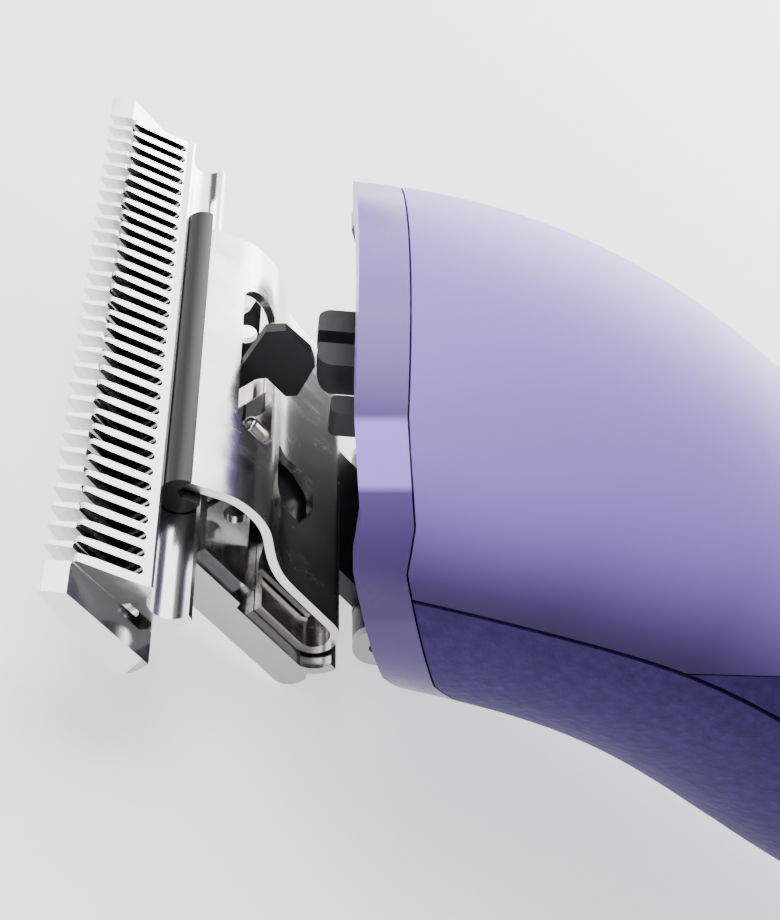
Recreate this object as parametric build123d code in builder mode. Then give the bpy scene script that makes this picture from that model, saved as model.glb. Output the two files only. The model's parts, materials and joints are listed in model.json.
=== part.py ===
"""Cordless pet clipper: detachable blade set, hinge, drive train and a bent two-shell handle.

Row frame: +X runs rearward along the handle, +Y to the clipper's right-hand side, +Z up. The clipper
lies belly down, on the comb heel and the tail, and the origin is below the middle of its outline.
Millimetres throughout.
"""
import os
from math import cos, radians, sin

from build123d import *

# ---- driving dimensions ----------------------------------------------------------------------------
HEAD_PITCH = 35.5          # the nose points down from the handle by this angle
BLADE_PITCH = 47.7         # the opened blade plane against the nose axis
TIP_X = -85.68             # middle of the comb's tip line in the row frame
TIP_Z = 5.93

COMB_WIDTH = 49.5
COMB_PITCH = 1.5537
COMB_GAPS = 29
COMB_GAP_WIDTH = 0.84
COMB_ROOT = 6.2
COMB_TOP = 1.25            # plane that the cutter slides on
REAR_PLATE_WIDTH = 28.0
SOLE_Z = -1.15             # flat underside of the comb's rear plate
SCREW_X = 12.9
SCREW_Y = 6.0
BLADE_SCREW_RADIUS = 2.0
POCKET_DEPTH = 0.5
REAR_PLATE_END = 22.6
LIP_START = 6.8            # the plate's upturned lip leaves this half width free for the tongue

CUTTER_WIDTH = 44.5
CUTTER_PITCH = 1.365
CUTTER_GAPS = 32
CUTTER_GAP_WIDTH = 0.74
CUTTER_BASE = 1.30
GROOVE_X = 6.45
GROOVE_Z = 3.60
GROOVE_RADIUS = 1.36

SPRING_WIDTH = 25.8
SPRING_SHEET = 0.55
LOWER_LEG_Z = 1.17         # middle of the lower leg's sheet
U_CENTRE_X = 20.7

HINGE_X = 26.88            # hinge axis in the blade's own plane
HINGE_Z = 2.83
BRACKET_X = 20.2           # the same axis in the nose's own plane
BRACKET_Z = -17.97
BARREL_RADIUS = 1.57
BARREL_END = 9.4
PIN_RADIUS = 0.50
KNUCKLE_END = 6.3

STROKE_GAP = 0.20          # clearance of the drive tang in the fork, each side
TANG_WIDTH = 0.80
FORK_TIP = 14.7            # nose-axis distances from the comb tips
FORK_TOP = -0.3
FORK_BOTTOM = -2.6
PRONG_WIDTH = 2.2
LEVER_PIVOT = 26.0
ECCENTRICITY = 1.25
CRANK_RADIUS = 0.9
TAIL_SLOT_HALF = 3.75      # clears the crank pin at every turn of the crank and swing of the lever
SHAFT_Z = 10.8             # motor axis above the comb tips

WALL = 1.8
BEZEL_DEPTH = 3.05
SEAM_GAP = 0.12            # half of the groove between two shells

BUTTON_X = 86.0
BUTTON_RADIUS = 5.6
TAIL_SEAM = 160.0
TAIL_Z = 7.6               # middle of the tail above the comb tips
CELL_X = 100.0
CELL_Z = 7.9
CELL_RADIUS = 7.0
CELL_LENGTH = 50.0
SLEEVE_WALL = 0.35
BOARD_Z = 15.4
BOARD_THICKNESS = 1.2
BELLY_SCREWS = ((80.0, -0.7), (155.0, -5.0))   # row x and height of each head
TAIL_END = 171.5
JACK_RADIUS = 1.80
JACK_DEPTH = 10.0
SCREW_HEAD_RADIUS = 2.1
BIG = 80.0

os.makedirs("parts", exist_ok=True)


# ---- planes and stations ---------------------------------------------------------------------------
def side_plane(pitch):
    """Side view through the comb tips: local x rearward and `pitch` degrees above the handle axis."""
    direction = (cos(radians(pitch)), 0, sin(radians(pitch)))
    return Plane(origin=(TIP_X, 0, TIP_Z), x_dir=direction, z_dir=(0, -1, 0))


row = side_plane(0)
head = side_plane(HEAD_PITCH)
blade = side_plane(HEAD_PITCH - BLADE_PITCH)


def plan_plane(side, height):
    """Plane parallel to `side`'s local x and to Y, at a local height, seen from above."""
    origin = side.origin + side.y_dir * height
    return Plane(origin=origin, x_dir=side.x_dir, z_dir=side.y_dir)


def cross_plane(side, distance, height=0.0):
    """Plane across `side`'s local x: its local x is +Y, and its local y points up."""
    origin = side.origin + side.x_dir * distance + side.y_dir * height
    return Plane(origin=origin, x_dir=(0, 1, 0), z_dir=side.x_dir)


def save(piece, label):
    """Names a finished piece and writes its STEP file."""
    piece.part.label = label
    export_step(piece.part, f"parts/{label}.step")


# Body sections: centre (x, z) from the comb tips, pitch of the axis, half width, half height.
STATIONS = [
    (12.00, 0.00, 35.5, 18.4, 13.3),
    (17.85, 4.26, 35.5, 18.6, 13.5),
    (27.90, 9.05, 22.0, 18.8, 13.4),
    (37.30, 10.90, 8.0, 18.2, 12.85),
    (48.50, 10.70, -2.0, 17.3, 12.2),
    (70.00, 10.60, -1.0, 16.6, 11.8),
    (100.0, 10.00, -2.0, 16.0, 11.6),
    (135.0, 8.40, -2.5, 16.8, 12.9),
    (157.0, 7.60, 0.0, 17.0, 13.5),
    (166.0, 7.60, 0.0, 16.0, 12.9),
    (TAIL_END, 7.60, 0.0, 12.6, 10.2),
]


def body_solid(inset):
    """The whole body's outer form, shrunk by `inset`."""
    with BuildPart() as form:
        for x, z, pitch, half_width, half_height in STATIONS:
            section = cross_plane(side_plane(pitch), 0)
            section.origin = (TIP_X + x, 0, TIP_Z + z)
            with BuildSketch(section):
                Ellipse(half_width - inset, half_height - inset)
        loft()
    return form.part


OUTER = body_solid(0)
INNER = body_solid(WALL)


def seam_line(lift):
    """Seam between the upper and lower shells in the row side view, as a smooth curve."""
    return [(10.0, 2.2 + lift), (16.3, 6.4 + lift), (27.0, 11.3 + lift), (36.8, 13.9 + lift),
            (48.5, 14.4 + lift), (70.0, 13.8 + lift), (100.0, 12.6 + lift), (135.0, 10.9 + lift),
            (157.0, 10.2 + lift), (180.0, 10.2 + lift)]


def above_seam(lift):
    """Everything above the seam."""
    with BuildPart() as zone:
        with BuildSketch(row):
            with BuildLine():
                seam = Spline(*seam_line(lift))
                Polyline(seam @ 1, (180, BIG), (-30, BIG), (-30, 2.2 + lift), seam @ 0)
            make_face()
        extrude(amount=BIG, both=True)
    return zone.part


def behind_crease(shift):
    """Everything behind the hood's rear edge, which rises rearward from the seam to the handle's top."""
    with BuildPart() as zone:
        with BuildSketch(row):
            with BuildLine():
                edge = Spline((31.0 + shift, 10.0), (36.5 + shift, 13.9), (45.0 + shift, 17.4),
                              (60.0 + shift, 25.0), (64.0 + shift, 28.0))
                Polyline(edge @ 1, (64 + shift, BIG), (240, BIG), (240, -BIG), (31 + shift, -BIG), edge @ 0)
            make_face()
        extrude(amount=BIG, both=True)
    return zone.part


def behind_nose(setback):
    """Everything behind the nose's front edge: upright above the seam, swept back below it."""
    with BuildPart() as zone:
        with BuildSketch(head):
            with BuildLine():
                Polyline((16.5 + setback, 30), (16.5 + setback, 3.4), (17.3 + setback, -0.8),
                         (17.1 + setback, -3.2), (19.9 + setback, -12.5), (22.6 + setback, -16.8),
                         (22.8 + setback, -BIG * 2), (BIG * 3, -BIG * 2), (BIG * 3, 30), (16.5 + setback, 30))
            make_face()
        extrude(amount=BIG, both=True)
    return zone.part


def ahead_of(x):
    """Everything ahead of an upright plane at row distance x from the comb tips."""
    with BuildPart() as zone:
        with BuildSketch(row):
            with Locations((x - BIG * 2, 0)):
                Rectangle(BIG * 4, BIG * 3)
        extrude(amount=BIG, both=True)
    return zone.part


# ---- blade set -------------------------------------------------------------------------------------
def tooth_gap(mouth_x, mouth_half, throat_x, half, root_x):
    """Plan outline of the space between two pointed teeth: a flared mouth, then parallel sides."""
    with BuildSketch() as gap:
        with BuildLine():
            Polyline((mouth_x, -mouth_half), (mouth_x, mouth_half), (throat_x, half), (root_x, half))
            ThreePointArc((root_x, half), (root_x + half * 0.6, 0), (root_x, -half))
            Polyline((root_x, -half), (throat_x, -half), (mouth_x, -mouth_half))
        make_face()
    return gap


def comb():
    """Fixed comb: sloping nose bar with pointed teeth, blunt end teeth and a narrower rear plate."""
    gap = tooth_gap(-0.9, COMB_PITCH / 2 - 0.07, 1.9, COMB_GAP_WIDTH / 2, COMB_ROOT)
    with BuildPart() as comb:
        with BuildSketch(blade):
            with BuildLine():
                Polyline((-0.15, 0.05), (-0.10, 0.30), (0.85, COMB_TOP), (7.6, COMB_TOP), (7.6, 0.10),
                         (6.9, -0.88), (6.43, -0.88), (-0.15, 0.05))
            make_face()
        extrude(amount=COMB_WIDTH / 2, both=True)
        with BuildSketch(blade):
            with BuildLine():
                Polyline((6.3, COMB_TOP), (15.0, COMB_TOP), (15.2, 0.85), (REAR_PLATE_END - 0.4, 0.85))
                Line((REAR_PLATE_END - 0.4, 0.85), (REAR_PLATE_END, 0.45))
                Line((REAR_PLATE_END, 0.45), (REAR_PLATE_END, 0.0))
                RadiusArc((REAR_PLATE_END, 0.0), (REAR_PLATE_END - 1.15, SOLE_Z), 1.15)
                Polyline((REAR_PLATE_END - 1.15, SOLE_Z), (8.2, SOLE_Z), (6.3, -0.80), (6.3, COMB_TOP))
            make_face()
        extrude(amount=REAR_PLATE_WIDTH / 2, both=True)
        for side in (-1, 1):
            with BuildSketch(blade.offset(-side * (REAR_PLATE_WIDTH / 2 + LIP_START) / 2)):
                with BuildLine():
                    ThreePointArc((21.20, 0.49), (22.13, 1.01), (22.77, 2.47))
                trace(line_width=0.5)
            extrude(amount=(REAR_PLATE_WIDTH / 2 - LIP_START) / 2, both=True)
        with BuildSketch(plan_plane(blade, 0)):
            with GridLocations(1, COMB_PITCH, 1, COMB_GAPS):
                add(gap.sketch)
        extrude(amount=3, both=True, mode=Mode.SUBTRACT)
        with BuildSketch(plan_plane(blade, COMB_TOP)):
            with Locations((9.6, 0)):
                Rectangle(1.6, 20.0)
        extrude(amount=-0.5, mode=Mode.SUBTRACT)
        with BuildSketch(plan_plane(blade, SOLE_Z)):
            with Locations((SCREW_X, SCREW_Y), (SCREW_X, -SCREW_Y)):
                Circle(BLADE_SCREW_RADIUS + 0.02)
        extrude(amount=POCKET_DEPTH, mode=Mode.SUBTRACT)
    save(comb, "comb")


def cutter():
    """Sliding cutter: inclined teeth, a round cross groove for the glide and a raised rear bar."""
    end = CUTTER_WIDTH / 2
    gap = tooth_gap(0.0, CUTTER_PITCH / 2 - 0.10, 2.0, CUTTER_GAP_WIDTH / 2, 4.30)
    with BuildPart() as cutter:
        with BuildSketch(blade):
            with BuildLine():
                Polyline((1.0, CUTTER_BASE), (1.05, 1.50), (4.60, 3.17), (4.90, 3.45), (7.7, 3.75),
                         (8.25, 3.60), (8.25, CUTTER_BASE), (7.3, CUTTER_BASE), (7.1, 1.70),
                         (5.2, 1.70), (5.0, CUTTER_BASE), (1.0, CUTTER_BASE))
            make_face()
            with Locations((GROOVE_X, GROOVE_Z)):
                Circle(GROOVE_RADIUS, mode=Mode.SUBTRACT)
        extrude(amount=end, both=True)
        with BuildSketch(blade):
            with BuildLine():
                Polyline((8.0, CUTTER_BASE), (10.3, CUTTER_BASE), (10.3, 3.60), (8.0, 3.60),
                         (8.0, CUTTER_BASE))
            make_face()
        extrude(amount=5.0, both=True)
        with BuildSketch(plan_plane(blade, 0)):
            with GridLocations(1, CUTTER_PITCH, 1, CUTTER_GAPS):
                add(gap.sketch)
        extrude(amount=5, mode=Mode.SUBTRACT)
    save(cutter, "cutter")


def drive_tang():
    """Upright tang on the cutter, which the drive fork straddles once the blade is closed."""
    with BuildPart() as tang:
        with BuildSketch(blade):
            with BuildLine():
                Polyline((8.9, 3.62), (8.9, 5.6), (7.7, 8.4), (8.35, 9.45), (10.7, 9.65), (11.7, 9.2),
                         (12.9, 6.9), (12.5, 6.25), (10.6, 6.2), (10.3, 5.6), (10.3, 3.62), (8.9, 3.62))
            make_face()
        extrude(amount=TANG_WIDTH / 2, both=True)
    save(tang, "drive_tang")


def tang_rivets():
    """Two rivets that hold the tang's foot to the cutter's rear bar."""
    with BuildPart() as rivets:
        with BuildSketch(plan_plane(blade, 3.60)):
            with Locations((9.3, 1.9), (9.3, -1.9)):
                Circle(0.8)
        extrude(amount=0.5)
        fillet(rivets.faces().sort_by(Axis.Z)[-2:].edges(), radius=0.3)
    save(rivets, "tang_rivets")


def cutter_glide():
    """Plastic strip that lies in the cutter's cross groove under the spring's nose."""
    with BuildPart() as glide:
        with BuildSketch(blade):
            with Locations((GROOVE_X, GROOVE_Z)):
                Circle(GROOVE_RADIUS - 0.08)
            with BuildLine():
                Polyline((6.02, 6.0), (6.02, 3.7), (6.55, 3.55), (7.6, 4.08), (9.0, 4.6),
                         (9.0, 6.0), (6.02, 6.0))
            make_face(mode=Mode.SUBTRACT)
        extrude(amount=SPRING_WIDTH / 2 + 0.7, both=True)
    save(glide, "cutter_glide")


def tension_spring():
    """Spring sheet: nose, crest, flat leg, U-turn, lower leg, two windows and a flange at one window."""
    upper = 3.78
    radius = (upper - LOWER_LEG_Z) / 2
    middle = (upper + LOWER_LEG_Z) / 2
    with BuildPart() as spring:
        with BuildSketch(blade):
            with BuildLine():
                Spline((6.45, 3.95), (7.50, 4.60), (8.80, 5.33), (10.5, 5.66), (12.1, 5.42), (13.4, 4.72),
                       (15.1, 3.98), (17.0, upper), tangents=[(0.80, 0.60), (1, 0)])
                Line((17.0, upper), (U_CENTRE_X, upper))
                ThreePointArc((U_CENTRE_X, upper), (U_CENTRE_X + radius, middle), (U_CENTRE_X, LOWER_LEG_Z))
                Line((U_CENTRE_X, LOWER_LEG_Z), (16.8, LOWER_LEG_Z))
            trace(line_width=SPRING_SHEET)
        extrude(amount=SPRING_WIDTH / 2, both=True)
        with BuildSketch(plan_plane(blade, 4.0)):
            with Locations((10.25, 0.8)):
                RectangleRounded(3.0, 14.4, 1.4)
            with Locations((11.2, 0.8)):
                Rectangle(1.1, 11.0)
        extrude(amount=4, mode=Mode.SUBTRACT)
        with BuildSketch(plan_plane(blade, 3.2)):
            with BuildLine():
                FilletPolyline((13.8, -2.6), (16.7, -1.9), (18.4, -2.9), (18.4, -4.6), (17.2, -6.9),
                               (13.8, -6.9), radius=0.7, close=True)
            make_face()
        extrude(amount=3, mode=Mode.SUBTRACT)
        with BuildSketch(plan_plane(blade, 2.47)):
            with Locations((U_CENTRE_X + 2, 0)):
                Rectangle(3.9, 2 * KNUCKLE_END + 0.6)
        extrude(amount=0.9, both=True, mode=Mode.SUBTRACT)
        with BuildSketch(cross_plane(blade, 11.75)):
            with BuildLine():
                Polyline((-6.0, 5.40), (-5.0, 3.9), (-2.6, 3.4), (-1.9, 3.4), (-1.9, 5.40), (-6.0, 5.40))
            make_face()
        extrude(amount=0.5)
    save(spring, "tension_spring")


def flange_rivet():
    """Round rivet through the spring flange."""
    with BuildPart() as rivet:
        with BuildSketch(cross_plane(blade, 11.75)):
            with Locations((-3.2, 4.45)):
                Circle(0.62)
        extrude(amount=-0.75)
        fillet(rivet.faces().sort_by(Axis.X)[0].edges(), radius=0.2)
    save(rivet, "flange_rivet")


def blade_socket():
    """Sheet socket on the comb: cross foot, two upright side walls and two rolled guide flanges."""
    with BuildPart() as socket:
        for side in (-1, 1):
            with BuildSketch(blade.offset(-side * 9.0)):
                with BuildLine():
                    Polyline((11.0, COMB_TOP), (11.0, 4.1), (10.6, 5.0), (11.2, 5.0), (15.0, COMB_TOP + 0.4),
                             (15.0, COMB_TOP), (11.0, COMB_TOP))
                make_face()
                with Locations((12.4, 2.75)):
                    Circle(0.75, mode=Mode.SUBTRACT)
            extrude(amount=0.3, both=True)
            with BuildSketch(plan_plane(blade, COMB_TOP)):
                with Locations((12.9, side * 10.9)):
                    Rectangle(3.8, 4.0)
            extrude(amount=0.45)
        with BuildSketch(plan_plane(blade, COMB_TOP)):
            with Locations((12.9, 0)):
                Rectangle(3.8, 18.0)
        extrude(amount=0.35)
    save(socket, "blade_socket")


def socket_guides():
    """Rolled flanges on the lower leg that guide the tongue in sideways."""
    with BuildPart() as guides:
        for side in (-1, 1):
            with BuildSketch(cross_plane(blade, 16.2)):
                with BuildLine():
                    ThreePointArc((side * 10.4, 1.72), (side * 8.3, 2.10), (side * 7.0, 3.0))
                trace(line_width=0.32)
            extrude(amount=5.0)
    save(guides, "socket_guides")


def blade_screws():
    """Two flush screws up through the comb's rear plate into the socket."""
    with BuildPart() as screws:
        with BuildSketch(plan_plane(blade, SOLE_Z + 0.03)):
            with Locations((SCREW_X, SCREW_Y), (SCREW_X, -SCREW_Y)):
                Circle(BLADE_SCREW_RADIUS)
        extrude(amount=POCKET_DEPTH - 0.03)
        with BuildSketch(plan_plane(blade, SOLE_Z)):
            with Locations((SCREW_X, SCREW_Y), (SCREW_X, -SCREW_Y)):
                SlotOverall(3.0, 0.5)
        extrude(amount=0.25, mode=Mode.SUBTRACT)
    save(screws, "blade_screws")


# ---- hinge -----------------------------------------------------------------------------------------
def hinge_tongue():
    """Moving tongue: middle knuckle of the barrel and the flat tongue between the spring's legs."""
    with BuildPart() as tongue:
        with BuildSketch(blade):
            with Locations((HINGE_X, HINGE_Z)):
                Circle(BARREL_RADIUS)
        extrude(amount=KNUCKLE_END, both=True)
        with BuildSketch(plan_plane(blade, 1.75)):
            with BuildLine():
                FilletPolyline((26.6, 5.9), (16.0, 5.9), (14.0, 3.8), (14.0, -3.8), (16.0, -5.9),
                               (26.6, -5.9), radius=0.8, close=True)
            make_face()
        extrude(amount=1.35)
        with BuildSketch(blade):
            with Locations((HINGE_X, HINGE_Z)):
                Circle(PIN_RADIUS + 0.05)
        extrude(amount=BIG, both=True, mode=Mode.SUBTRACT)
    save(tongue, "hinge_tongue")


def hinge_bracket():
    """Fixed bracket behind the front plate, with the two outer knuckles of the barrel."""
    with BuildPart() as bracket:
        for side in (-1, 1):
            middle = side * (KNUCKLE_END + 0.15 + BARREL_END - 0.6) / 2
            with BuildSketch(head.offset(-middle)):
                with Locations((BRACKET_X, BRACKET_Z)):
                    Circle(BARREL_RADIUS)
                with BuildLine():
                    Polyline((19.6, -16.8), (21.3, -17.4), (22.3, -15.8), (23.2, -14.0), (21.9, -14.0),
                             (21.9, -15.1), (20.4, -15.9), (19.6, -16.8))
                make_face()
            extrude(amount=(BARREL_END - 0.6 - KNUCKLE_END - 0.15) / 2, both=True)
        with BuildSketch(head):
            with BuildLine():
                Polyline((21.9, -15.4), (23.2, -15.4), (23.2, -8.0), (21.9, -8.0), (21.9, -15.4))
            make_face()
        extrude(amount=BARREL_END - 0.6, both=True)
        with BuildSketch(head):
            with Locations((BRACKET_X, BRACKET_Z)):
                Circle(PIN_RADIUS + 0.02)
        extrude(amount=BIG, both=True, mode=Mode.SUBTRACT)
    save(bracket, "hinge_bracket")
    with BuildPart() as bushes:
        for side in (-1, 1):
            with BuildSketch(head.offset(-side * (BARREL_END - 0.3))):
                with Locations((BRACKET_X, BRACKET_Z)):
                    Circle(BARREL_RADIUS)
                    Circle(PIN_RADIUS, mode=Mode.SUBTRACT)
            extrude(amount=0.3, both=True)
    save(bushes, "hinge_bushes")
    with BuildPart() as pin:
        with BuildSketch(head):
            with Locations((BRACKET_X, BRACKET_Z)):
                Circle(PIN_RADIUS)
        extrude(amount=BARREL_END - 0.25, both=True)
    save(pin, "hinge_pin")


# ---- drive train -----------------------------------------------------------------------------------
def drive_lever():
    """Swinging lever: forked tip ahead of the pivot, and a slotted tail over the crank pin behind it."""
    gap = TANG_WIDTH + 2 * STROKE_GAP
    with BuildPart() as fork:
        with BuildSketch(plan_plane(head, FORK_BOTTOM)):
            with BuildLine():
                half = gap / 2 + PRONG_WIDTH
                FilletPolyline((23.5, half), (FORK_TIP, half), (FORK_TIP, -half), (23.5, -half),
                               radius=0.9, close=True)
            make_face()
            with BuildLine():
                inner = gap / 2
                Polyline((FORK_TIP - 1, inner), (21.8, inner), (21.8, -inner), (FORK_TIP - 1, -inner),
                         (FORK_TIP - 1, inner))
            make_face(mode=Mode.SUBTRACT)
        extrude(amount=FORK_TOP - FORK_BOTTOM)
        with BuildSketch(head):
            with BuildLine():
                Polyline((FORK_TIP - 1, FORK_BOTTOM - 1), (FORK_TIP - 1, FORK_BOTTOM + 1.1),
                         (FORK_TIP, FORK_BOTTOM + 1.1))
                RadiusArc((FORK_TIP, FORK_BOTTOM + 1.1), (FORK_TIP + 1.1, FORK_BOTTOM), -1.1)
                Polyline((FORK_TIP + 1.1, FORK_BOTTOM), (FORK_TIP + 1.1, FORK_BOTTOM - 1),
                         (FORK_TIP - 1, FORK_BOTTOM - 1))
            make_face()
        extrude(amount=10, both=True, mode=Mode.SUBTRACT)
    save(fork, "drive_fork")
    pivot = plan_plane(head, FORK_BOTTOM)
    with BuildPart() as lever:
        with BuildSketch(pivot):
            with Locations((LEVER_PIVOT, 0)):
                Circle(2.5)
            with Locations((LEVER_PIVOT - 1.1, 0)):
                Rectangle(2.8, 5.0)
        extrude(amount=FORK_TOP - FORK_BOTTOM)
        with BuildSketch(row):
            with BuildLine():
                Polyline((23.4, 13.8), (38.6, 9.6), (38.6, 12.2), (25.2, 15.5), (23.4, 13.8))
            make_face()
        extrude(amount=TAIL_SLOT_HALF + 1.4, both=True)
        with BuildSketch(plan_plane(row, 0)):
            with Locations((38.2, 0)):
                Rectangle(4.4, 2 * TAIL_SLOT_HALF)
        extrude(amount=30, mode=Mode.SUBTRACT)
        with BuildSketch(pivot):
            with Locations((LEVER_PIVOT, 0)):
                Circle(1.55)
        extrude(amount=20, both=True, mode=Mode.SUBTRACT)
    save(lever, "drive_lever")
    with BuildPart() as post:
        with BuildSketch(plan_plane(head, FORK_BOTTOM - 2.0)):
            with Locations((LEVER_PIVOT, 0)):
                Circle(1.5)
        extrude(amount=4.9)
        with BuildSketch(plan_plane(head, FORK_TOP + 0.15)):
            with Locations((LEVER_PIVOT, 0)):
                Circle(2.4)
        extrude(amount=0.5)
    save(post, "lever_pivot_pin")


def chassis():
    """Inner frame: shelf under the lever and two walls with the motor's front ring."""
    with BuildPart() as frame:
        with BuildSketch(plan_plane(head, FORK_BOTTOM - 2.0)):
            with Locations((25.2, 0)):
                Rectangle(5.0, 22)
        extrude(amount=-1.5)
        with BuildSketch(row):
            with BuildLine():
                Polyline((27.6, 3.5), (44.0, 3.5), (44.0, 5.3), (31.5, 5.3), (27.6, 10.2), (25.5, 11.3),
                         (24.2, 10.3), (27.6, 3.5))
            make_face()
        extrude(amount=8, both=True)
        with BuildSketch(cross_plane(row, 43.0, SHAFT_Z)):
            RectangleRounded(20, 15.4, 4)
            Circle(4.0, mode=Mode.SUBTRACT)
        extrude(amount=1.6)
    save(frame, "motor_chassis")


def motor():
    """Motor can, end bell, front bearing, shaft with crank disc and crank pin."""
    with BuildPart() as can:
        with BuildSketch(cross_plane(row, 44.6, SHAFT_Z)):
            Circle(8.6)
            Circle(1.4, mode=Mode.SUBTRACT)
        extrude(amount=24.0)
        fillet(can.faces().sort_by(Axis.X)[-1].edges().filter_by(GeomType.CIRCLE), radius=0.6)
    save(can, "motor_can")
    with BuildPart() as bell:
        with BuildSketch(cross_plane(row, 68.7, SHAFT_Z)):
            Circle(8.2)
        extrude(amount=3.0)
        with BuildSketch(cross_plane(row, 71.7, SHAFT_Z)):
            with Locations((4.6, 0), (-4.6, 0)):
                Rectangle(0.6, 2.4)
        extrude(amount=3.2)
    save(bell, "motor_end_bell")
    with BuildPart() as bearing:
        with BuildSketch(cross_plane(row, 42.7, SHAFT_Z)):
            Circle(3.95)
            Circle(1.06, mode=Mode.SUBTRACT)
        extrude(amount=1.85)
    save(bearing, "front_bearing")
    with BuildPart() as crank:
        with BuildSketch(cross_plane(row, 40.9, SHAFT_Z)):
            Circle(3.6)
        extrude(amount=1.5)
        with BuildSketch(cross_plane(row, 42.4, SHAFT_Z)):
            Circle(1.0)
        extrude(amount=18)
        with BuildSketch(cross_plane(row, 36.9, SHAFT_Z)):
            with Locations((0, ECCENTRICITY)):
                Circle(CRANK_RADIUS)
        extrude(amount=4.0)
    save(crank, "crank_shaft")


def electronics():
    """Battery cell, circuit board, switch, light window and charging socket."""
    with BuildPart() as cell:
        with BuildSketch(cross_plane(row, CELL_X, CELL_Z)):
            Circle(CELL_RADIUS)
        extrude(amount=CELL_LENGTH)
        fillet(cell.edges().filter_by(GeomType.CIRCLE), radius=0.8)
    save(cell, "battery_cell")
    with BuildPart() as sleeve:
        with BuildSketch(cross_plane(row, CELL_X + 2, CELL_Z)):
            Circle(CELL_RADIUS + SLEEVE_WALL)
            Circle(CELL_RADIUS, mode=Mode.SUBTRACT)
        extrude(amount=CELL_LENGTH - 4)
    save(sleeve, "battery_sleeve")
    with BuildPart() as board:
        with BuildSketch(plan_plane(row, BOARD_Z)):
            with Locations((102, 0)):
                RectangleRounded(50, 15, 1.5)
        extrude(amount=BOARD_THICKNESS)
    save(board, "circuit_board")
    with BuildPart() as switch:
        with BuildSketch(plan_plane(row, BOARD_Z + BOARD_THICKNESS)):
            with Locations((BUTTON_X, 0)):
                RectangleRounded(5.6, 5.6, 0.5)
        extrude(amount=1.4)
        with BuildSketch(plan_plane(row, 18.0)):
            with Locations((BUTTON_X, 0)):
                Circle(1.6)
        extrude(amount=0.7)
    save(switch, "power_switch")


# ---- housing ---------------------------------------------------------------------------------------
def button_parts():
    """Power button in its bezel ring, on top of the handle."""
    with BuildPart() as button:
        with BuildSketch(plan_plane(row, 19.6)):
            with Locations((BUTTON_X, 0)):
                Circle(BUTTON_RADIUS)
        extrude(amount=3.6)
        with BuildSketch(plan_plane(row, 19.6)):
            with Locations((BUTTON_X, 0)):
                Circle(BUTTON_RADIUS + 0.7)
        extrude(amount=0.6)
        fillet(button.faces().sort_by(Axis.Z)[-1].edges(), radius=0.6)
    save(button, "power_button")
    with BuildPart() as ring:
        with BuildSketch(plan_plane(row, 21.3)):
            with Locations((BUTTON_X, 0)):
                Circle(BUTTON_RADIUS + 1.5)
                Circle(BUTTON_RADIUS + 0.2, mode=Mode.SUBTRACT)
        extrude(amount=1.5)
        chamfer(ring.faces().sort_by(Axis.Z)[-1].edges(), length=0.25)
    save(ring, "button_ring")


def shells():
    """Nose bezel, hood, handle cover, belly shell and tail cap, cut from one hollow form."""
    with BuildPart() as skin:
        add(OUTER)
        add(INNER, mode=Mode.SUBTRACT)
        add(behind_nose(0), mode=Mode.INTERSECT)
    front = behind_nose(BEZEL_DEPTH)
    rear_of_groove = behind_nose(BEZEL_DEPTH + SEAM_GAP)
    handle_zone = ahead_of(TAIL_SEAM)
    with BuildPart() as bezel:
        add(skin.part)
        add(front, mode=Mode.SUBTRACT)
    save(bezel, "nose_bezel")
    with BuildPart() as hood:
        add(skin.part)
        add(rear_of_groove, mode=Mode.INTERSECT)
        add(above_seam(SEAM_GAP), mode=Mode.INTERSECT)
        add(behind_crease(-SEAM_GAP), mode=Mode.SUBTRACT)
    save(hood, "nose_hood")
    with BuildPart() as cover:
        add(skin.part)
        add(behind_crease(SEAM_GAP), mode=Mode.INTERSECT)
        add(above_seam(SEAM_GAP), mode=Mode.INTERSECT)
        add(handle_zone, mode=Mode.INTERSECT)
        with BuildSketch(plan_plane(row, 15)):
            with Locations((BUTTON_X, 0)):
                Circle(BUTTON_RADIUS + 1.5)
            with Locations((BUTTON_X + 14, 0)):
                SlotOverall(12, 3.0)
        extrude(amount=20, mode=Mode.SUBTRACT)
    save(cover, "handle_cover")
    with BuildPart() as window:
        add(skin.part)
        with BuildSketch(plan_plane(row, 15)):
            with Locations((BUTTON_X + 14, 0)):
                SlotOverall(11.9, 2.9)
        extrude(amount=20, mode=Mode.INTERSECT)
    save(window, "light_window")
    with BuildPart() as belly:
        add(skin.part)
        add(rear_of_groove, mode=Mode.INTERSECT)
        add(above_seam(-SEAM_GAP), mode=Mode.SUBTRACT)
        add(handle_zone, mode=Mode.INTERSECT)
        with BuildSketch(head):
            with Locations((30.0, -24.0)):
                Rectangle(5.4, 8.0)
        extrude(amount=3.2, both=True, mode=Mode.SUBTRACT)
        with BuildSketch(plan_plane(row, -10)):
            with Locations(*[(x, 0) for x, low in BELLY_SCREWS]):
                Circle(SCREW_HEAD_RADIUS + 0.1)
        extrude(amount=12, mode=Mode.SUBTRACT)
    save(belly, "belly_shell")


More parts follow.
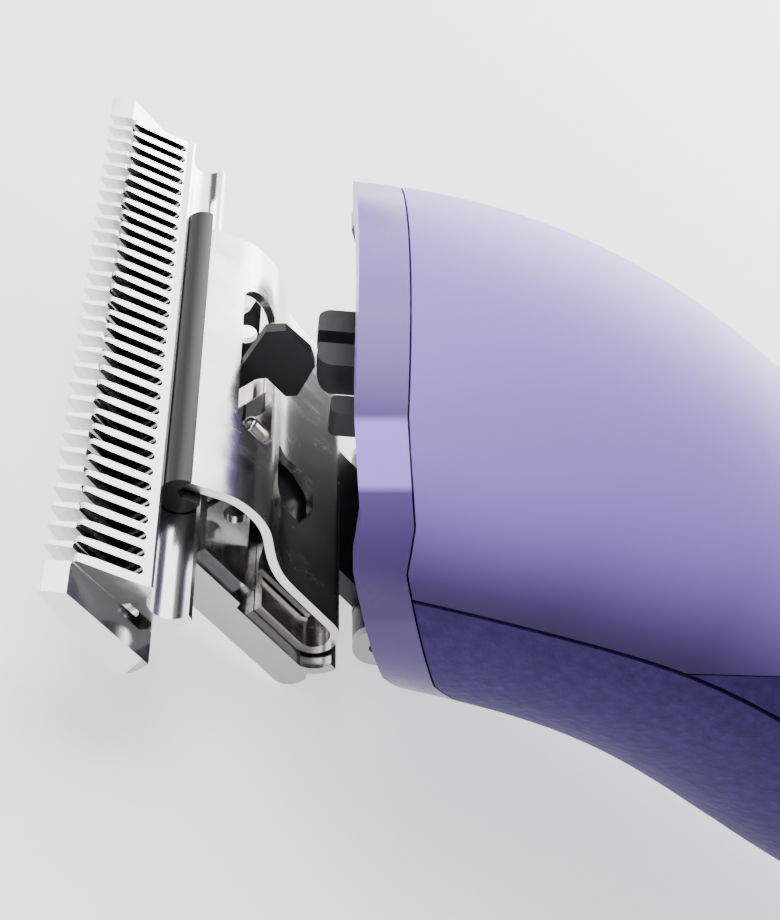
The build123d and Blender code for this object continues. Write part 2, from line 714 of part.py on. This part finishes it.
def tail():
    """Tail cap with the charging socket, and the socket's sleeve."""
    with BuildPart() as cap:
        add(OUTER)
        add(ahead_of(TAIL_SEAM + 2 * SEAM_GAP), mode=Mode.SUBTRACT)
        with BuildSketch(cross_plane(row, TAIL_SEAM, TAIL_Z)):
            Ellipse(14.6, 11.3)
        extrude(amount=8.0, mode=Mode.SUBTRACT)
        with BuildSketch(cross_plane(row, TAIL_SEAM, TAIL_Z)):
            Circle(3.3)
        extrude(amount=20, mode=Mode.SUBTRACT)
        fillet(cap.faces().sort_by(Axis.X)[-1].outer_wire().edges(), radius=2.0)
    save(cap, "tail_cap")
    with BuildPart() as jack:
        with BuildSketch(cross_plane(row, TAIL_END - JACK_DEPTH - 1.5, TAIL_Z)):
            Circle(3.2)
        extrude(amount=JACK_DEPTH + 1.5)
        with BuildSketch(cross_plane(row, TAIL_END - JACK_DEPTH, TAIL_Z)):
            Circle(JACK_RADIUS)
        extrude(amount=JACK_DEPTH, mode=Mode.SUBTRACT)
    save(jack, "charge_socket")


def housing_screws():
    """Two screws up through the belly shell, one behind the motor and one behind the battery."""
    with BuildPart() as screws:
        for x, low in BELLY_SCREWS:
            with BuildSketch(plan_plane(row, low)):
                with Locations((x, 0)):
                    Circle(SCREW_HEAD_RADIUS)
            extrude(amount=1.6)
            with BuildSketch(plan_plane(row, low + 1.6)):
                with Locations((x, 0)):
                    Circle(1.2)
            extrude(amount=9.0)
            with BuildSketch(plan_plane(row, low)):
                with Locations((x, 0)):
                    Rectangle(2.6, 0.6)
                    Rectangle(0.6, 2.6)
            extrude(amount=0.8, mode=Mode.SUBTRACT)
    save(screws, "housing_screws")


def nose_parts():
    """Front plate with the lever's opening, its dust seal, the lower lug and the release slider."""
    with BuildPart() as plate:
        add(INNER)
        with BuildSketch(head):
            with Locations((21.0, -4.8)):
                Rectangle(1.4, 20.0)
        extrude(amount=BIG, both=True, mode=Mode.INTERSECT)
        with BuildSketch(cross_plane(head, 15, (FORK_TOP + FORK_BOTTOM) / 2)):
            RectangleRounded(9.6, 4.6, 1.2)
        extrude(amount=20, mode=Mode.SUBTRACT)
    save(plate, "front_plate")
    with BuildPart() as seal:
        with BuildSketch(cross_plane(head, 21.75, (FORK_TOP + FORK_BOTTOM) / 2)):
            RectangleRounded(13.0, 7.6, 2.0)
            RectangleRounded(9.4, 4.4, 1.2, mode=Mode.SUBTRACT)
        extrude(amount=0.6)
    save(seal, "lever_seal")
    with BuildPart() as lug:
        with BuildSketch(plan_plane(head, -3.1)):
            with BuildLine():
                FilletPolyline((20.3, -4.45), (15.6, -4.45), (15.6, -6.2), (20.3, -6.2), radius=0.5,
                               close=True)
            make_face()
        extrude(amount=1.8)
    save(lug, "blade_stop_lug")
    with BuildPart() as slider:
        with BuildSketch(plan_plane(head, -22.3)):
            with Locations((29.3, 0)):
                RectangleRounded(3.0, 5.6, 0.8)
        extrude(amount=3.4)
    save(slider, "release_slider")


comb()
cutter()
drive_tang()
tang_rivets()
cutter_glide()
tension_spring()
flange_rivet()
blade_socket()
socket_guides()
blade_screws()
hinge_tongue()
hinge_bracket()
drive_lever()
chassis()
motor()
electronics()
button_parts()
shells()
tail()
nose_parts()
housing_screws()
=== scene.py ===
"""Pet clipper: materials, floor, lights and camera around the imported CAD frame.

Metres, in the row frame: +X rearward along the handle, +Y to the side, +Z up.
"""
import json
import math

import bmesh
import bpy
from mathutils import Matrix, Vector


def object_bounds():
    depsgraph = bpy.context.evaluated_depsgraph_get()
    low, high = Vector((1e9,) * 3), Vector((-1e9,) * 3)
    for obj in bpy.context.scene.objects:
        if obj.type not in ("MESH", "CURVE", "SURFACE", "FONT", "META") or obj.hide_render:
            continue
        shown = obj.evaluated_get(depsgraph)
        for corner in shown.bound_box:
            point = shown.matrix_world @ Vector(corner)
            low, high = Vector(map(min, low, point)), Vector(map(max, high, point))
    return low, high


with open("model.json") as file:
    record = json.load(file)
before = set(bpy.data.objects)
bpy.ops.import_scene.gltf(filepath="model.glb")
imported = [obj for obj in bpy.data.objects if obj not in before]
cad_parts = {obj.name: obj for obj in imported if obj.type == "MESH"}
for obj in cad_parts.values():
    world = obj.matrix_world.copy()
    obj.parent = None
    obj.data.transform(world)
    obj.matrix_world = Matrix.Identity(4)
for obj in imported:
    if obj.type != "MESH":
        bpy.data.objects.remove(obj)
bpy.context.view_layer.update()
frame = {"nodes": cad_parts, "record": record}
MM = 0.001
TIP = Vector((-85.68, 0, 5.93)) * MM       # middle of the comb's tip line

# Camera at the viewing angle: its place from the comb tips, and its own axes.
CAMERA_FROM_TIP = Vector((-40.5, -106.4, 70.6)) * MM
VIEW_RIGHT = Vector((0.7414, -0.0160, 0.6704))
VIEW_UP = Vector((-0.5001, 0.6530, 0.5685))
LENS_MM = 84.13
SENSOR_MM = 36.0
CLIP_START = 0.005

LIGHT_TARGET = (-0.06, 0, 0.015)           # the nose
WORLD_STRENGTH = 0.22
FLOOR_SIZE = 3.0
FLOOR_GAP = 0.0002
FLOOR_EMISSION = 1.0

COMB_SLOT_HALF = 0.0236                    # slot walls, which get painted shade, lie within this distance of the middle
CUTTER_SLOT_HALF = 0.0218
COMB_HEEL_X = -0.0785                      # behind this the comb is its rear plate, whose sideways faces get painted shade
# Near-black colour of the painted shade on slot walls and flanks.
PAINTED_WALL_SHADE = (0.05, 0.05, 0.052, 1)
NO_HEEL = 0.1                              # past the clipper's tail, so that nothing is behind it

# The hood's painted shade deepens towards the seam line given below.
SEAM_START_X = -0.0757                     # stretch of the handle that the hood's seam line is given for
SEAM_END_X = -0.0157
SEAM_SCALE = 10.0                          # seam heights are stored in tenths of a metre
SEAM_HEIGHTS = ((0.0, 0.081), (0.105, 0.123), (0.283, 0.172), (0.447, 0.198), (0.64, 0.203), (1.0, 0.197))

RIM_LOW = 0.024                            # the rim's painted highlight and shade bands run from this far below the tips to this far above them, along the view's upward direction
RIM_HIGH = 0.009                           # to this far above them, along the view's upward direction
# Tones of the rim's painted bands: painted highlight above 1, painted shade below it.
RIM_PAINTED_LIGHT = ((0.0, 0.26), (0.165, 0.26), (0.18, 0.20), (0.30, 0.26), (0.395, 0.42), (0.41, 1.7),
             (0.515, 1.7), (0.53, 0.50), (0.66, 0.66), (0.85, 0.86), (0.97, 1.0))

EDGE_WIDTHS_MM = {"drive_fork": 0.25, "blade_stop_lug": 0.2, "drive_tang": 0.10, "nose_bezel": 0.25}
EDGE_SEGMENTS = 3
EDGE_ANGLE = math.radians(30)


# ---- node helpers ----------------------------------------------------------------------------------
class Graph:
    """A material's node tree with short calls for the nodes used here."""

    def __init__(self, name):
        self.material = bpy.data.materials.new(name)
        self.material.use_nodes = True
        self.tree = self.material.node_tree
        self.shader = self.tree.nodes["Principled BSDF"]
        self.coords = self.add("ShaderNodeTexCoord").outputs["Object"]

    def add(self, kind, **props):
        node = self.tree.nodes.new(kind)
        for key, value in props.items():
            setattr(node, key, value)
        return node

    def link(self, a, b):
        self.tree.links.new(a, b)

    def scaled(self, x, y, z):
        node = self.add("ShaderNodeMapping")
        node.inputs["Scale"].default_value = (x, y, z)
        self.link(self.coords, node.inputs["Vector"])
        return node.outputs["Vector"]

    def noise(self, vector, scale, detail=3.0, rough=0.55):
        node = self.add("ShaderNodeTexNoise")
        node.inputs["Scale"].default_value = scale
        node.inputs["Detail"].default_value = detail
        node.inputs["Roughness"].default_value = rough
        self.link(vector, node.inputs["Vector"])
        return node.outputs["Fac"]

    def cells(self, vector, scale, feature="F1"):
        node = self.add("ShaderNodeTexVoronoi", feature=feature)
        node.inputs["Scale"].default_value = scale
        self.link(vector, node.inputs["Vector"])
        return node.outputs["Distance"]

    def ramp(self, fac, stops):
        node = self.add("ShaderNodeValToRGB")
        elements = node.color_ramp.elements
        while len(elements) < len(stops):
            elements.new(0.5)
        for element, (place, colour) in zip(elements, stops):
            element.position = place
            element.color = (*colour, 1)
        self.link(fac, node.inputs["Fac"])
        return node.outputs["Color"]

    def remap(self, fac, low, high, from_low=0.0, from_high=1.0):
        node = self.add("ShaderNodeMapRange")
        node.inputs["From Min"].default_value = from_low
        node.inputs["From Max"].default_value = from_high
        node.inputs["To Min"].default_value = low
        node.inputs["To Max"].default_value = high
        self.link(fac, node.inputs["Value"])
        return node.outputs["Result"]

    def bump(self, height, distance, strength=1.0, under=None):
        node = self.add("ShaderNodeBump")
        node.inputs["Strength"].default_value = strength
        node.inputs["Distance"].default_value = distance
        self.link(height, node.inputs["Height"])
        if under is not None:
            self.link(under, node.inputs["Normal"])
        return node.outputs["Normal"]

    def math(self, operation, first, second=None):
        node = self.add("ShaderNodeMath", operation=operation)
        self.link(first, node.inputs[0])
        if isinstance(second, (int, float)):
            node.inputs[1].default_value = second
        elif second is not None:
            self.link(second, node.inputs[1])
        return node.outputs[0]

    def grey_ramp(self, fac, stops):
        return self.ramp(fac, [(place, (tone,) * 3) for place, tone in stops])

    def split(self, vector):
        node = self.add("ShaderNodeSeparateXYZ")
        self.link(vector, node.inputs[0])
        return node.outputs

    def set(self, **values):
        for key, value in values.items():
            self.shader.inputs[key.replace("_", " ")].default_value = value

    def wire(self, output, name):
        self.link(output, self.shader.inputs[name])


def plastic(name, colour, rough, coat=0.0, grain=0.0, mottle=0.10, sss=0.0):
    """Moulded plastic: slight colour drift, roughness drift and an optional fine grain."""
    g = Graph(name)
    drift = g.noise(g.coords, 45.0, 4.0)
    dark = tuple(c * (1 - mottle) for c in colour)
    light = tuple(min(1, c * (1 + mottle)) for c in colour)
    g.wire(g.ramp(drift, [(0.3, dark), (0.7, light)]), "Base Color")
    g.wire(g.remap(g.noise(g.coords, 160.0, 3.0), rough * 0.88, min(1, rough * 1.12)), "Roughness")
    g.set(Coat_Weight=coat, Coat_Roughness=0.12, Subsurface_Weight=sss, Subsurface_Scale=0.001)
    fine = g.bump(g.noise(g.coords, 2600.0, 2.0), 0.00001, 0.35)
    if grain > 0:
        fine = g.bump(g.cells(g.coords, 1400.0), grain, 0.8, under=fine)
    g.wire(fine, "Normal")
    return g.material


def leather_grip(name, colour):
    """Grained grip plastic: shallow uneven pebbles, with painted shade a little darker between them."""
    g = Graph(name)
    wobble = g.noise(g.coords, 900.0, 4.0, 0.6)
    pebble = g.cells(g.coords, 1500.0, "SMOOTH_F1")
    drift = g.ramp(g.noise(g.coords, 40.0, 4.0), [(0.3, tuple(c * 0.9 for c in colour)),
                                                 (0.7, tuple(c * 1.1 for c in colour))])
    # Painted shade: the colour is a little darker between the pebbles.
    shade = g.remap(pebble, 1.10, 0.80, 0.2, 0.8)
    mix = g.add("ShaderNodeVectorMath", operation="SCALE")
    g.link(drift, mix.inputs[0])
    g.link(shade, mix.inputs["Scale"])
    g.wire(mix.outputs[0], "Base Color")
    g.wire(g.remap(wobble, 0.46, 0.62), "Roughness")
    g.set(Specular_IOR_Level=0.10)
    low = g.bump(wobble, 0.00022, 0.55)
    g.wire(g.bump(pebble, 0.00010, 0.5, under=low), "Normal")
    return g.material


def steel(name, colour, rough, stretch=(1, 1, 1), tint=None, walls=0.0, dark=1.0, heel_x=NO_HEEL):
    """Worked steel: brush lines along one way and faint cloudiness.

    Where `walls` is given, faces that look sideways within that distance of the middle, or behind
    `heel_x`, are darker: painted shade standing for the shade on slot walls and flanks.
    """
    g = Graph(name)
    lines = g.noise(g.scaled(*stretch), 900.0, 5.0, 0.7)
    clouds = g.noise(g.coords, 120.0, 4.0)
    other = tint or tuple(c * 0.86 for c in colour)
    face = g.ramp(clouds, [(0.35, other), (0.65, colour)])
    worn = g.remap(lines, rough * 0.65, rough * 1.35, 0.3, 0.7)
    if walls > 0:
        # Painted shade: sideways faces of the slot walls, and of the flanks behind the heel, are mixed
        # towards near-black.
        normal = g.split(g.add("ShaderNodeNewGeometry").outputs["True Normal"])
        place = g.split(g.coords)
        sideways = g.math("ABSOLUTE", normal["Y"])
        within = g.math("LESS_THAN", g.math("ABSOLUTE", place["Y"]), walls)
        wall_painted_shade = g.math("MULTIPLY", g.remap(sideways, 0.0, dark, 0.35, 0.75), within)
        heel = g.math("GREATER_THAN", place["X"], heel_x)
        flank_painted_shade = g.math("MULTIPLY", g.remap(sideways, 0.0, 0.55, 0.5, 0.9), heel)
        mix = g.add("ShaderNodeMix", data_type="RGBA")
        g.link(g.math("MAXIMUM", wall_painted_shade, flank_painted_shade), mix.inputs["Factor"])
        g.link(face, mix.inputs["A"])
        mix.inputs["B"].default_value = PAINTED_WALL_SHADE
        face = mix.outputs["Result"]
    g.wire(face, "Base Color")
    g.set(Metallic=1.0)
    g.wire(worn, "Roughness")
    g.wire(g.bump(lines, 0.000004, 0.35), "Normal")
    return g.material


def hood_painted_shading(name, colour):
    """Satin hood: painted light on top and painted shade deepening towards the seam, with faint moulding
    drift.
    """
    g = Graph(name)
    place = g.split(g.coords)
    along = g.remap(place["X"], 0.0, 1.0, SEAM_START_X, SEAM_END_X)
    seam = g.grey_ramp(along, SEAM_HEIGHTS)
    above = g.math("SUBTRACT", g.math("MULTIPLY", place["Z"], SEAM_SCALE), seam)
    # Painted light and shade: the colour is scaled from dark at the seam to bright on top.
    painted_light_by_height = g.remap(above, 0.16, 1.20, 0.0, 0.085)
    painted_light_by_height.node.interpolation_type = "SMOOTHSTEP"
    drift = g.remap(g.noise(g.coords, 35.0, 4.0), 0.97, 1.03)
    mix = g.add("ShaderNodeVectorMath", operation="SCALE")
    mix.inputs[0].default_value = colour
    g.link(g.math("MULTIPLY", painted_light_by_height, drift), mix.inputs["Scale"])
    g.wire(mix.outputs[0], "Base Color")
    g.wire(g.remap(g.noise(g.coords, 160.0, 3.0), 0.34, 0.42), "Roughness")
    g.set(Coat_Weight=0.0, Specular_IOR_Level=0.14)
    g.wire(g.bump(g.noise(g.coords, 2600.0, 2.0), 0.00001, 0.3), "Normal")
    return g.material


def bezel_painted_reflections(name, colour):
    """Polished nose rim with painted bands of highlight and shade, the same on both sides.

    They stand for the lamps' reflections on facets that the rim's geometry doesn't have.
    """
    g = Graph(name)
    place = g.split(g.coords)
    lean = g.math("MULTIPLY", place["X"], VIEW_UP.x)
    lift = g.math("MULTIPLY", place["Z"], VIEW_UP.z)
    inward = g.math("MULTIPLY", g.math("ABSOLUTE", place["Y"]), -VIEW_UP.y)
    height = g.math("ADD", g.math("ADD", lean, lift), inward)
    start = VIEW_UP.dot(TIP)
    rank = g.remap(height, 0.0, 1.0, start - RIM_LOW, start + RIM_HIGH)
    # Painted highlight and shade bands, ranked along the view's upward direction.
    tone = g.grey_ramp(rank, RIM_PAINTED_LIGHT)
    mix = g.add("ShaderNodeMix", data_type="RGBA", blend_type="MULTIPLY")
    mix.inputs["Factor"].default_value = 1.0
    mix.inputs["A"].default_value = (*colour, 1)
    g.link(tone, mix.inputs["B"])
    g.wire(mix.outputs["Result"], "Base Color")
    g.wire(g.remap(g.noise(g.coords, 220.0, 3.0), 0.24, 0.32), "Roughness")
    g.set(Coat_Weight=0.05, Coat_Roughness=0.12, Specular_IOR_Level=0.2)
    g.wire(g.bump(g.noise(g.coords, 300.0, 2.0), 0.00001, 0.3), "Normal")
    return g.material


MATERIALS = {
    "hood_plastic": hood_painted_shading("hood_plastic", (0.265, 0.180, 0.600)),
    "bezel_plastic": bezel_painted_reflections("bezel_plastic", (0.300, 0.200, 0.680)),
    "grip_plastic": leather_grip("grip_plastic", (0.036, 0.023, 0.110)),
    "tail_plastic": leather_grip("tail_plastic", (0.034, 0.021, 0.095)),
    "blade_steel": steel("blade_steel", (0.86, 0.86, 0.87), 0.17, (1, 0.04, 1), walls=COMB_SLOT_HALF,
                         dark=0.12, heel_x=COMB_HEEL_X),
    "cutter_steel": steel("cutter_steel", (0.84, 0.84, 0.85), 0.18, (1, 0.04, 1),
                          walls=CUTTER_SLOT_HALF),
    "spring_steel": steel("spring_steel", (0.84, 0.825, 0.805), 0.22, (0.06, 1, 1), tint=(0.62, 0.60, 0.575)),
    "socket_steel": steel("socket_steel", (0.70, 0.70, 0.71), 0.20, (1, 0.1, 1)),
    "rivet_steel": steel("rivet_steel", (0.78, 0.78, 0.78), 0.16),
    "screw_steel": steel("screw_steel", (0.60, 0.60, 0.62), 0.28),
    "glide_plastic": plastic("glide_plastic", (0.008, 0.008, 0.009), 0.50, mottle=0.15),
    "fork_plastic": plastic("fork_plastic", (0.020, 0.020, 0.022), 0.55, grain=0.00002),
    "tang_plastic": plastic("tang_plastic", (0.013, 0.013, 0.015), 0.50),
    "black_oxide": plastic("black_oxide", (0.014, 0.014, 0.016), 0.34, mottle=0.2),
    "bush_plastic": plastic("bush_plastic", (0.50, 0.50, 0.49), 0.35),
    "dark_plastic": plastic("dark_plastic", (0.018, 0.018, 0.021), 0.48, grain=0.00001),
    "seal_rubber": plastic("seal_rubber", (0.010, 0.010, 0.010), 0.75, grain=0.00002),
    "button_plastic": plastic("button_plastic", (0.11, 0.085, 0.26), 0.34, coat=0.2),
    "ring_metal": steel("ring_metal", (0.75, 0.75, 0.77), 0.22),
    "window_plastic": plastic("window_plastic", (0.62, 0.62, 0.68), 0.25, coat=0.5, sss=0.3),
    "motor_steel": steel("motor_steel", (0.55, 0.55, 0.56), 0.35),
    "bearing_bronze": steel("bearing_bronze", (0.60, 0.42, 0.22), 0.35),
    "cell_wrap": plastic("cell_wrap", (0.02, 0.06, 0.22), 0.3, coat=0.4),
    "board_green": plastic("board_green", (0.01, 0.07, 0.03), 0.35, coat=0.5),
}
SLOT_OF = {part["node"]: part["material_slot"] for part in frame["record"]["subparts"]}


def finish_node(name):
    """Gives a CAD node the material of its slot in the record."""
    obj = frame["nodes"][name]
    material = MATERIALS[SLOT_OF[name]]
    if not obj.material_slots:
        obj.data.materials.append(material)
    for slot in obj.material_slots:
        slot.material = material


def soften(name, width):
    """Rounds a CAD node's sharp edges by a bevel modifier, with weighted normals."""
    obj = frame["nodes"][name]
    bevel = obj.modifiers.new("edge", "BEVEL")
    bevel.width = width
    bevel.segments = EDGE_SEGMENTS
    bevel.limit_method = "ANGLE"
    bevel.angle_limit = EDGE_ANGLE
    bevel.harden_normals = False
    normals = obj.modifiers.new("normals", "WEIGHTED_NORMAL")
    normals.keep_sharp = True


for node in frame["nodes"]:
    finish_node(node)
for node, width_mm in EDGE_WIDTHS_MM.items():
    soften(node, width_mm * MM)


# ---- stage, camera and light -----------------------------------------------------------------------
def make_floor():
    """Pale floor, just under the object, with an emission that keeps it light."""
    mesh = bpy.data.meshes.new("floor")
    grid = bmesh.new()
    bmesh.ops.create_grid(grid, x_segments=1, y_segments=1, size=FLOOR_SIZE)
    grid.to_mesh(mesh)
    grid.free()
    look = Graph("floor")
    drift = look.noise(look.coords, 3.0)
    look.wire(look.ramp(drift, [(0.3, (0.93, 0.93, 0.94)), (0.7, (0.95, 0.95, 0.95))]), "Base Color")
    look.set(Roughness=0.9, Emission_Strength=FLOOR_EMISSION, Emission_Color=(1, 1, 1, 1))
    mesh.materials.append(look.material)
    floor = bpy.data.objects.new("floor", mesh)
    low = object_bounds()[0]
    floor.location = (0, 0, low[2] - FLOOR_GAP)
    bpy.context.scene.collection.objects.link(floor)


def make_world():
    """Dim white surround."""
    world = bpy.data.worlds.new("studio")
    world.use_nodes = True
    background = world.node_tree.nodes["Background"]
    background.inputs["Color"].default_value = (1, 1, 1, 1)
    background.inputs["Strength"].default_value = WORLD_STRENGTH
    bpy.context.scene.world = world


def softbox(name, place, width, height, power):
    """Area light aimed at the nose."""
    data = bpy.data.lights.new(name, "AREA")
    data.shape = "RECTANGLE"
    data.size = width
    data.size_y = height
    data.energy = power
    lamp = bpy.data.objects.new(name, data)
    lamp.location = place
    lamp.rotation_euler = (Vector(LIGHT_TARGET) - Vector(place)).to_track_quat("-Z", "Y").to_euler()
    bpy.context.scene.collection.objects.link(lamp)


def make_camera():
    """Camera at the viewing angle, with its axes made square to each other."""
    right = VIEW_RIGHT.normalized()
    up = (VIEW_UP - right * VIEW_UP.dot(right)).normalized()
    back = right.cross(up)
    turn = Matrix((right, up, back)).transposed().to_4x4()
    data = bpy.data.cameras.new("camera")
    data.lens = LENS_MM
    data.sensor_width = SENSOR_MM
    data.clip_start = CLIP_START
    camera = bpy.data.objects.new("camera", data)
    camera.matrix_world = Matrix.Translation(TIP + CAMERA_FROM_TIP) @ turn
    bpy.context.scene.collection.objects.link(camera)
    bpy.context.scene.camera = camera


make_floor()
make_world()
softbox("key", (-0.32, 0.12, 0.42), 0.30, 0.30, 2.1)
softbox("high_card", (-0.09, 0.34, 0.31), 0.50, 0.34, 2.2)
softbox("far_card", (0.16, 0.36, 0.14), 0.55, 0.30, 4.5)
softbox("fill", (-0.40, -0.20, 0.22), 0.25, 0.25, 0.7)
make_camera()
